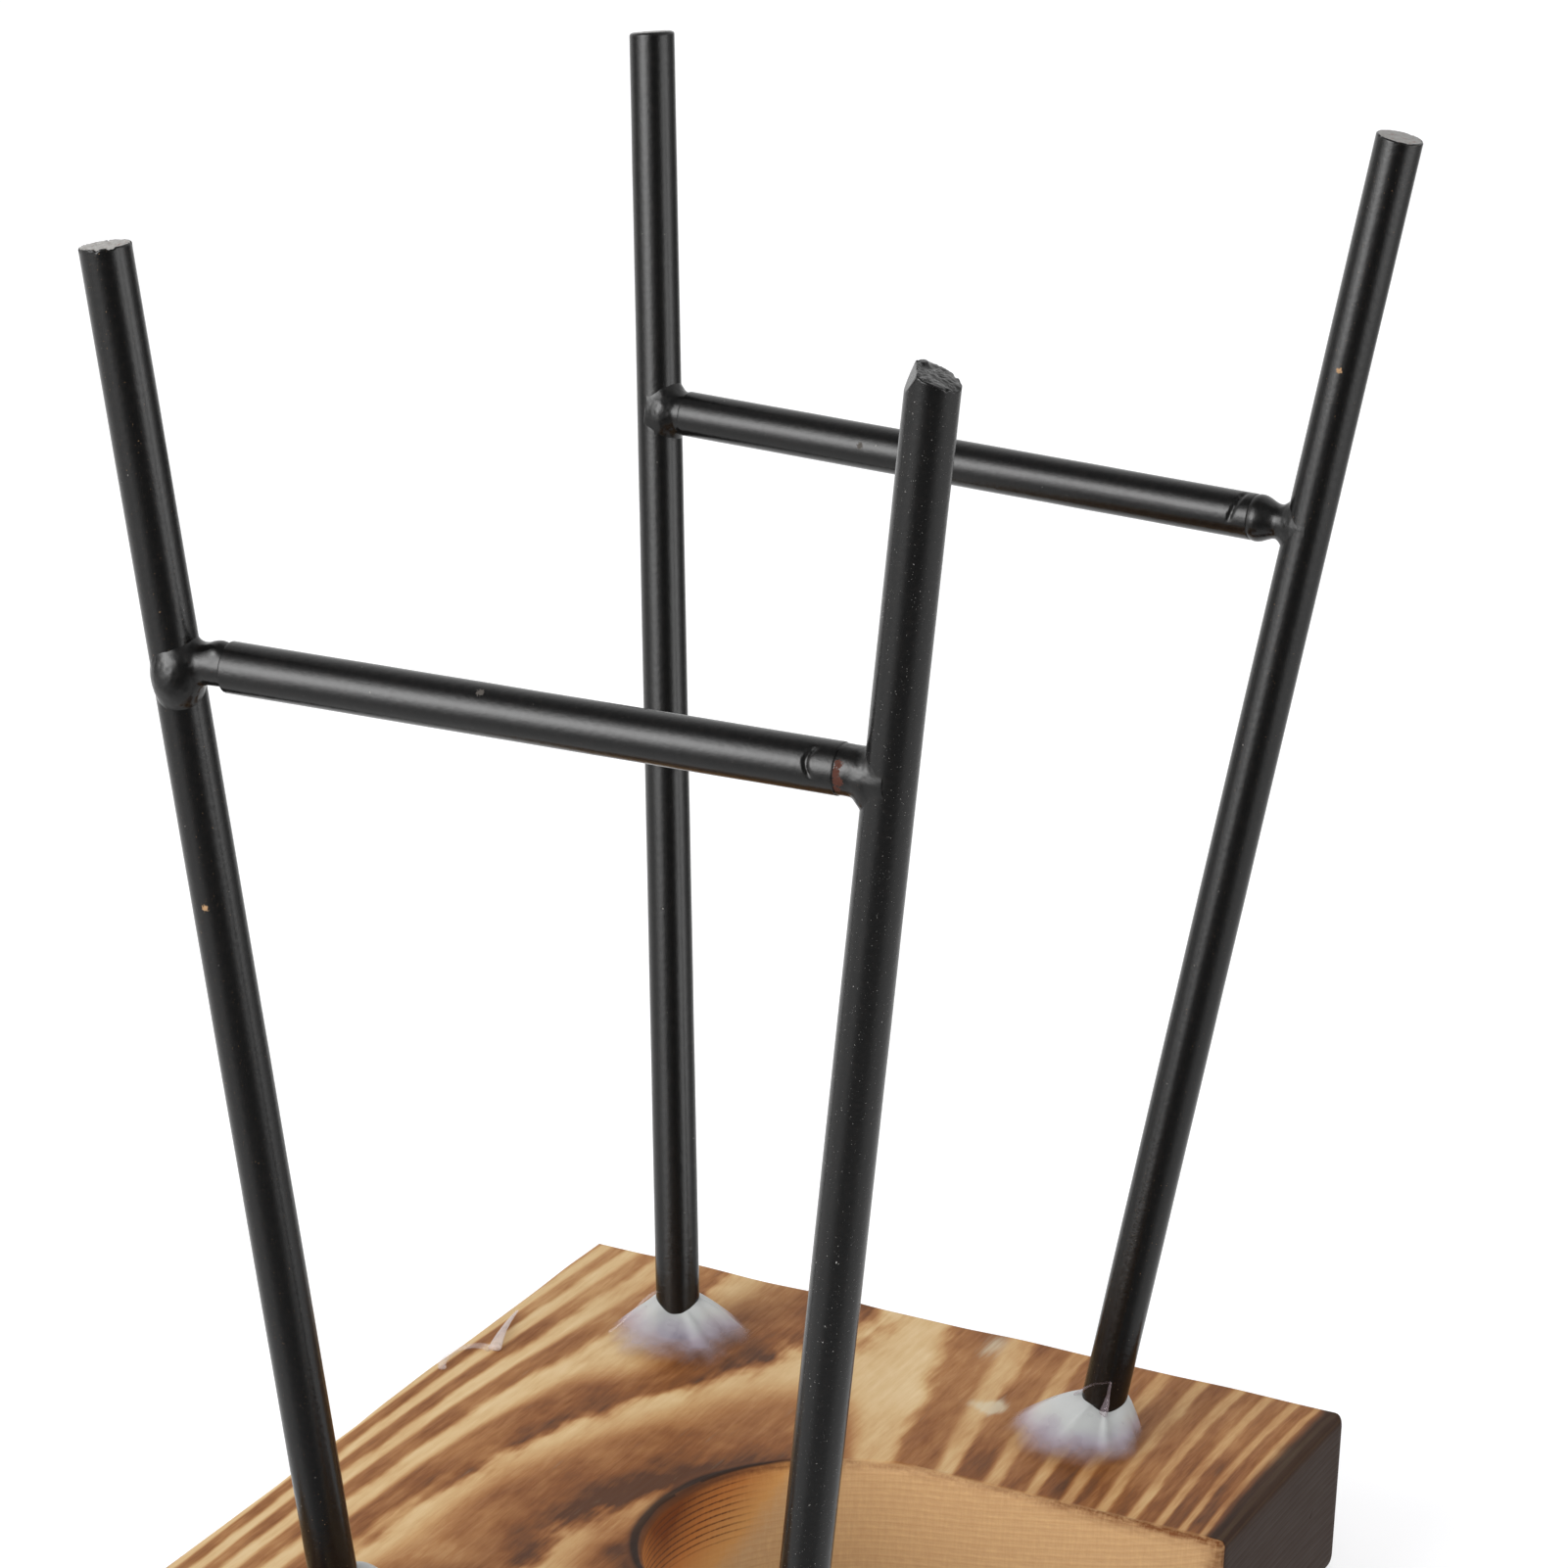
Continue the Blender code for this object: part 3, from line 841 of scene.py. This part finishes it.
# chips, specks and rust on the paint: a point, how far it is solid and its colour. Past that it
# fades over markFade, and a speck, whose reach is below zero, is only the end of such a fade
tan, speck, rust, dull = (160, 126, 90), (160, 158, 154), (62, 31, 21), (70, 66, 62)
marks = {
    "front_left": (((-35.8, -55.4, 104.0), 0.05, tan),),
    "back_right": (((43.6, 51.9, 148.6), 0.0, tan),),
    "front_right": (
        ((34.1, -51.1, 78.9), -0.24, speck),
        ((34.9, -49.5, 73.2), -0.28, speck),
        ((32.8, -50.5, 71.5), -0.26, speck),
        ((32.6, -50.4, 69.7), -0.28, speck),
        ((32.3, -50.3, 68.3), -0.28, speck),
        ((31.1, -48.5, 50.7), -0.28, speck),
    ),
    "bar_front": (((-4.3, -56.1, 132.6), 0.1, dull),),
    "bar_back": (((-14.0, 52.4, 131.2), 0.1, dull),),
    "weld_front_right": (
        ((34.0, -55.6, 131.9), 0.15, rust),
        ((33.8, -55.8, 131.1), 0.25, rust),
        ((34.1, -55.8, 130.3), 0.3, rust),
        ((33.9, -55.5, 129.5), 0.1, rust),
    ),
    "weld_front_left": (((-34.7, -56.7, 127.0), 0.3, rust),),
}


def paintMaterial(name):
    # satin black with a fine orange peel, dust and chips; bare steel where the mask says so
    material, start = newMaterial("black_paint_" + name)
    place = millimetres(start)
    bare = start.add("Attribute", {"attribute_name": "bare"}, output=2)
    peel = place.noise(1.6, 3.0, 0.55)
    grainy = place.noise(6.0, 3.0, 0.6)
    dust = place.noise(2.3, 1.0, 0.5).rise(0.80, 0.84) * 0.5
    colour = peel.ramp(*paint["tones"]).tint(dust, paint["dust"])
    steel = grainy.ramp(*paint["steel"]).tint((1 - bare) * 1.3, paint["thinBlack"])
    steel = steel.tint(peel.rise(0.58, 0.7) * 0.7, paint["brown"])
    cut = bare.rise(0.4, 0.6)
    colour = colour.tint(cut, steel)
    rough = paint["rough"] + (peel - 0.5) * 0.12 + cut * 0.25
    for point, reach, tone in marks.get(name, ()):
        spot = place.near(point, reach, paint["markFade"]) + (grainy - 0.5) * 2.4
        spot = spot.rise(0.45, 0.65)
        colour = colour.tint(spot, tone)
        rough = rough.most(spot * paint["markRough"])
    relief = peel * 0.8 + grainy * 0.3
    bump = start.add("Bump", None, {"Strength": 0.25, "Distance": 0.00012, "Height": relief})
    sockets = {"Base Color": colour, "Roughness": rough, "Normal": bump, "Specular IOR Level": 0.33}
    return settle(material, sockets)


def barEnds(name):
    # for each end: the rod's point, the unit vector into the bar, and the bar's own end
    (left, (leftHeight, leftGap)), (right, (rightHeight, rightGap)) = bars[name].items()
    leftPoint, rightPoint = rodPoint(left, leftHeight), rodPoint(right, rightHeight)
    along = unit(rightPoint - leftPoint)
    radius = rodSize["radius"]
    return {
        left: (leftPoint, along, leftPoint + along * (radius + leftGap)),
        right: (rightPoint, -along, rightPoint - along * (radius + rightGap)),
    }


def buildBar(name):
    # a round bar: end faces as rings of growing radius, a quarter circle at each rim, and even
    # rings between, with a notch pressed in
    (_, along, start), (_, _, end) = barEnds(name).values()
    up = unit(np.array((0, 0, 1)) - along * along[2])
    side = np.cross(along, up)
    radius, rim = rodSize["radius"], rodSize["rim"]
    turn = np.linspace(0, 2 * math.pi, rodSize["columns"], endpoint=False)
    length = np.linalg.norm(end - start)
    faceShare = np.array((0.3, 0.6, 0.85, 0.95))
    arc = np.linspace(0, math.pi / 2, 5)
    insets = np.concatenate((1 - faceShare, rim / radius * (1 - np.sin(arc))))
    heights = np.concatenate((faceShare * 0, rim * (1 - np.cos(arc))))
    sideRows = np.linspace(rim, length - rim, rodSize["barRows"])[1:-1]
    insets = np.concatenate((insets, sideRows * 0, insets[::-1]))[:, None]
    heights = np.concatenate((heights, sideRows, length - heights[::-1]))[:, None]
    u = (1 - insets) * radius * np.cos(turn)
    v = (1 - insets) * radius * np.sin(turn)
    coat = coatScale(u, v, heights, 50, 41)
    # the notch: a sharp step down on its inner side that climbs back slowly towards the end
    distance, slant, bow, middle, half, depth = notches[name]
    turned = (np.degrees(turn) - middle) / half
    place = heights - (length - distance - slant * turned - bow * (1 - turned**2))
    groove = ease(place, -0.12, 0.06) * ease(place, 0.75, 0.06) * ease(np.abs(turned), 1.2, 0.7)
    coat = (coat - depth / radius * groove)[..., None]
    rings = start + along * heights[..., None]
    rings = rings + (up * u[..., None] + side * v[..., None]) * coat
    bare, material = np.zeros(u.shape), paintMaterial("bar_" + name)
    piece = addLoft("crossbar_" + name + "_painted", rings, start, end, material, {"bare": bare})
    declare(piece, "black_paint", "crossbar_" + name)


for name in rods:
    buildRod(name)
for name in bars:
    buildBar(name)
print("rods and crossbars")


# Each weld has its neck's radius along the bar, how softly its forms run together, how far it may
# reach from its middle, and beads. A bead has its centre and half sizes along the bar (+x side),
# towards the front, and up the rod.
welds = {
    "front_left": {
        "neck": 2.15,
        "soft": 0.7,
        "reach": 6.5,
        "beads": (((0.7, 0.9, -1.4), (2.8, 2.65, 3.7)), ((5.2, 0.2, 1.75), (1.2, 1.3, 0.9))),
    },
    "front_right": {
        "neck": 2.55,
        "soft": 0.6,
        "reach": 6.2,
        "beads": (((-2.3, 0.1, -1.0), (1.5, 2.2, 2.6)),),
    },
    "back_left": {
        "neck": 2.5,
        "soft": 0.9,
        "reach": 5.6,
        "beads": (((1.4, 0.25, -0.1), (1.6, 2.6, 3.0)),),
    },
    "back_right": {
        "neck": 1.95,
        "soft": 1.0,
        "reach": 7.0,
        "beads": (((-5.9, 0.0, 0.0), (1.9, 2.66, 2.66)),),
    },
}
weldGrid = {
    "rows": 130,
    "columns": 160,
    "halvings": 26,
    "centre": (1.1, 0.2),  # of the directions, along the bar and towards the front
    "intoBar": 0.4,  # how far a weld may run into its bar
    "inRod": 0.16,  # how far its core lies inside the rod
}


def softLeast(first, second, soft):
    # the smaller of two distances, rounded where they meet
    near = np.maximum(soft - np.abs(first - second), 0) / soft
    return np.minimum(first, second) - near * near * soft / 4


def weldField(points, weld, flip, lean):
    # distance to the joined shape in the weld's own axes: the rod's core, the neck along the
    # bar and the beads, all run together
    s, f, a = np.moveaxis(points, -1, 0)
    offAxis = points - (points @ lean)[..., None] * lean
    core = np.linalg.norm(offAxis, axis=-1) - (rodSize["radius"] - weldGrid["inRod"])
    neck = np.maximum(np.hypot(f, a) - weld["neck"], -s * flip)
    field = softLeast(core, neck, weld["soft"] * 1.6)
    for centre, half in weld["beads"]:
        bead = (np.linalg.norm((points - centre) / half, axis=-1) - 1) * min(half)
        field = softLeast(field, bead, weld["soft"])
    return field


def buildWeld(name, point, along, barEnd):
    # from a centre inside the joint, each direction's radius is where the field crosses zero,
    # found by halving; the far limits lie inside the rod and the bar
    weld = welds[name]
    axis = rodAxis(name)
    flip = 1 if name.endswith("left") else -1
    side = along * flip
    front = unit(np.cross(side, axis))
    up = np.cross(front, side)
    lean = np.array((axis @ side, axis @ front, axis @ up))
    rows, columns = weldGrid["rows"], weldGrid["columns"]
    polar = np.linspace(0, math.pi, rows + 2)[1:-1, None]
    turn = np.linspace(0, 2 * math.pi, columns, endpoint=False)
    wayS = np.broadcast_to(-np.cos(polar), (rows, columns))
    ways = np.stack((wayS, np.sin(polar) * np.cos(turn), -np.sin(polar) * np.sin(turn)), axis=-1)
    centreS, centreF = weldGrid["centre"]
    centre = np.array((centreS * flip, centreF, 0))
    low = np.zeros((rows, columns, 1))
    high = np.full((rows, columns, 1), weld["reach"])
    intoBar = np.linalg.norm(barEnd - point) + weldGrid["intoBar"] - centreS
    barward = ways[..., :1] * flip
    high = np.where(barward > 0.05, np.minimum(high, intoBar / np.maximum(barward, 0.05)), high)
    for _ in range(weldGrid["halvings"]):
        middle = (low + high) / 2
        inside = weldField(centre + ways * middle, weld, flip, lean)[..., None] < 0
        low = np.where(inside, middle, low)
        high = np.where(inside, high, middle)
    local = centre + ways * low
    ripple = 0.04 * lumps(local + 9, 0.9, 61) + 0.02 * lumps(local, 0.45, 62)
    local = centre + ways * (low + ripple[..., None] - 0.03)
    rings = point + local[..., :1] * side + local[..., 1:2] * front + local[..., 2:] * up
    poles = [rings[0].mean(0), rings[-1].mean(0)]
    bare, material = np.zeros((rows, columns)), paintMaterial("weld_" + name)
    piece = addLoft("weld_" + name + "_bead", rings, *poles, material, {"bare": bare})
    declare(piece, "black_paint", "weld_" + name)


for name in bars:
    for corner, (point, along, barEnd) in barEnds(name).items():
        buildWeld(corner, point, along, barEnd)
print("welds")


glue = {
    "columns": 200,
    "rows": 70,
    # how deep the flat underside lies in the board
    "sink": 0.15,
    # how far the skirt reaches at every 45 degrees from +x, the lip's height on the rod at its
    # low side and elsewhere, that side's angle, ridges of angle, width and height, and how thick
    # the glue reads for its height
    "mounds": {
        "front_left": {
            "reach": (9.4, 9.6, 10.0, 9.0, 8.0, 8.6, 9.2, 9.3),
            "lip": (3.4, 5.4),
            "lowSide": -60,
            "ridges": ((250, 9, 0.3), (310, 12, 0.25), (70, 50, 1.9)),
            "body": 0.6,
            "seed": 71,
        },
        "back_left": {
            "reach": (9.6, 8.6, 6.8, 6.2, 7.4, 9.4, 12.8, 12.2),
            "lip": (3.0, 4.1),
            "lowSide": -76,
            "ridges": ((318, 8, 0.4), (14, 10, 0.5), (205, 9, 0.3)),
            "body": 0.6,
            "seed": 72,
        },
        "back_right": {
            "reach": (5.6, 5.6, 5.9, 7.2, 10.4, 11.7, 12.4, 9.6),
            "lip": (3.6, 4.6),
            "lowSide": -62,
            "ridges": ((190, 34, 0.7), (20, 28, 0.6), (260, 6, 0.4), (299, 6, 0.55)),
            "body": 0.62,
            "seed": 73,
        },
        "front_right": {
            "reach": (7.2, 8.0, 8.6, 8.3, 7.9, 7.4, 6.9, 6.9),
            "lip": (3.4, 4.7),
            "lowSide": 80,
            "ridges": ((100, 9, 0.4), (160, 8, 0.3)),
            "body": 0.8,
            "seed": 74,
        },
    },
    # from the thin edge to the thick middle
    "tones": (
        (0.0, (160, 124, 116)),
        (0.12, (176, 156, 160)),
        (0.3, (171, 162, 176)),
        (0.55, (180, 182, 181)),
    ),
    "veil": (236, 222, 214),
}


def buildMound(name):
    # rings from the uneven lip round the rod down to a thin skirt on the board, then a flat
    # underside; the height falls nearly straight, as (1 - share)^1.15, with a low swell
    mound = glue["mounds"][name]
    foot = np.array(rods[name]["foot"], float)
    axis = rodAxis(name)
    degrees = np.linspace(0, 360, glue["columns"], endpoint=False)
    turn = np.radians(degrees)
    around = np.stack((np.cos(turn), np.sin(turn), turn * 0), axis=-1)
    folds = lumps(around * 1.6 + 5, 1.0, mound["seed"])

    def turned(angle, width):
        return bell((degrees - angle + 180) % 360 - 180, 0, width)

    low, usual = mound["lip"]
    lip = usual - (usual - low) * turned(mound["lowSide"], 42) + 0.25 * folds
    # the reach is eased from each eighth of the turn to the next
    eighths = degrees / 45
    first = np.floor(eighths).astype(int)
    onward = ease(eighths, first, first + 1)
    reaches = np.array(mound["reach"])
    reach = reaches[first % 8] * (1 - onward) + reaches[(first + 1) % 8] * onward
    reach = reach * (1 + 0.02 * lumps(around * 2.5, 1.0, mound["seed"] + 20))
    share = np.linspace(0, 1, glue["rows"])[:, None]
    start = foot + axis * (lip / axis[2])[:, None] + around * (rodSize["radius"] - 0.08)
    end = foot + around * reach[:, None]
    rings = start + (end - start) * (share**1.1)[..., None]
    swell = np.sin(math.pi * share**0.8)
    ridge = sum(height * turned(angle, width) for angle, width, height in mound["ridges"])
    thick = lip * ((1 - share) ** 1.15 + 0.06 * swell * (1 + folds)) + swell * ridge
    rings[..., 2] = foot[2] + 0.02 + thick
    flat = (0, 0, foot[2] - glue["sink"])
    under = rings[-1] * (1, 1, 0) + flat
    inside = foot * (1, 1, 0) + (rings[-1] - foot) * (0.3, 0.3, 0) + flat
    rings = np.concatenate((rings, [under], [inside]))[::-1]
    thick = np.concatenate((thick, np.zeros((2, glue["columns"]))))[::-1] * mound["body"]
    poles = [inside.mean(0), start.mean(0) + (0, 0, -0.6)]
    piece = addLoft("glue_" + name + "_mound", rings, *poles, glueMaterial(name), {"thick": thick})
    declare(piece, "hot_glue", "glue_" + name)


def glueMaterial(name, veil=0.0):
    # grey-white where it is thick, lilac where it thins, and clear at its edge over the wood; the
    # veil is its share of a plain pale colour
    material, start = newMaterial("hot_glue_" + name)
    thick = start.add("Attribute", {"attribute_name": "thick"}, output=2)
    cloud = millimetres(start).noise(0.3, 2.0, 0.5) - 0.5
    body = thick + cloud * 0.9
    colour = (body * 0.3).ramp(*glue["tones"]).tint(veil, glue["veil"])
    alpha = body.rise(0.05, 1.4) * 0.7 + body.rise(0.8, 2.4) * 0.28
    bump = start.add("Bump", None, {"Strength": 0.2, "Distance": 0.0003, "Height": cloud})
    sockets = {"Base Color": colour, "Alpha": alpha, "Roughness": 0.3 + cloud * 0.2}
    return settle(material, {**sockets, "Normal": bump, "Specular IOR Level": 0.4})


# threads: the points of each centre line, its half width from end to end, how thick the glue
# reads there, and its veil
threads = {
    "stray": {
        "points": ((-48.0, 37.6, 20.4), (-46.8, 32, 20.5), (-45.2, 26.7, 20.4)),
        "width": (0.15, 0.4, 0.8),
        "thick": 0.85,
        "veil": 0.8,
    },
    "stray_end": {
        "points": ((-45.8, 26.5, 20.3), (-48.4, 25.4, 20.3), (-49, 21.9, 20.3), (-48, 18.8, 20.3)),
        "width": (0.7, 0.3, 0.5),
        "thick": 0.5,
        "veil": 0.8,
    },
    "back_left_string": {
        "points": ((-31.3, 42.1, 25), (-32.5, 40.3, 24), (-33.8, 39, 22.2), (-35.6, 37.9, 20.3)),
        "width": (0.3, 0.12, 0.3),
        "thick": 0.5,
        "veil": 0.6,
    },
    "back_right_film": {
        "points": ((23.8, 41.7, 24.6), (25.8, 40.9, 26.4), (27.2, 40.6, 27.2), (28.4, 40.9, 27.5)),
        "width": (0.35, 0.3, 0.25),
        "thick": 0.4,
        "veil": 0.0,
    },
    "back_right_stem": {
        "points": ((28.4, 40.9, 27.6), (28.3, 40.7, 26.4), (28.2, 40.5, 25.1), (27.9, 40.2, 23.6)),
        "width": (0.2, 0.25, 0.9),
        "thick": 0.6,
        "veil": 0.0,
    },
}


def sweptThread(points, width, columns=20, rows=80):
    # an oval section, half as high as wide, carried along a smooth curve through the points;
    # its half width runs through three values
    points = np.array(points, float)
    knots = np.linspace(0, 1, len(points))
    share = np.linspace(0, 1, rows)
    order = min(3, len(points) - 1)
    fits = np.polyfit(knots, points, order)
    path = sum(fit * share[:, None] ** (order - i) for i, fit in enumerate(fits))
    heading = np.gradient(path, axis=0)
    heading /= np.linalg.norm(heading, axis=-1, keepdims=True)
    side = np.cross(heading, (0, 0, 1))
    side /= np.linalg.norm(side, axis=-1, keepdims=True)
    up = np.cross(side, heading)
    turn = np.linspace(0, 2 * math.pi, columns, endpoint=False)
    half = np.interp(share, np.linspace(0, 1, len(width)), width)[:, None]
    spokes = side[:, None] * np.cos(turn)[:, None] - up[:, None] * 0.5 * np.sin(turn)[:, None]
    return path[:, None] + spokes * half[..., None], path[0], path[-1]


for name in glue["mounds"]:
    buildMound(name)
for name, thread in threads.items():
    rings, first, last = sweptThread(thread["points"], thread["width"])
    thick = np.full(rings.shape[:2], thread["thick"])
    material = glueMaterial(name, thread["veil"])
    piece = addLoft("glue_thread_" + name, rings, first, last, material, {"thick": thick})
    declare(piece, "hot_glue", *(("glue_string",) if name == "stray" else ()))
print("hot glue")
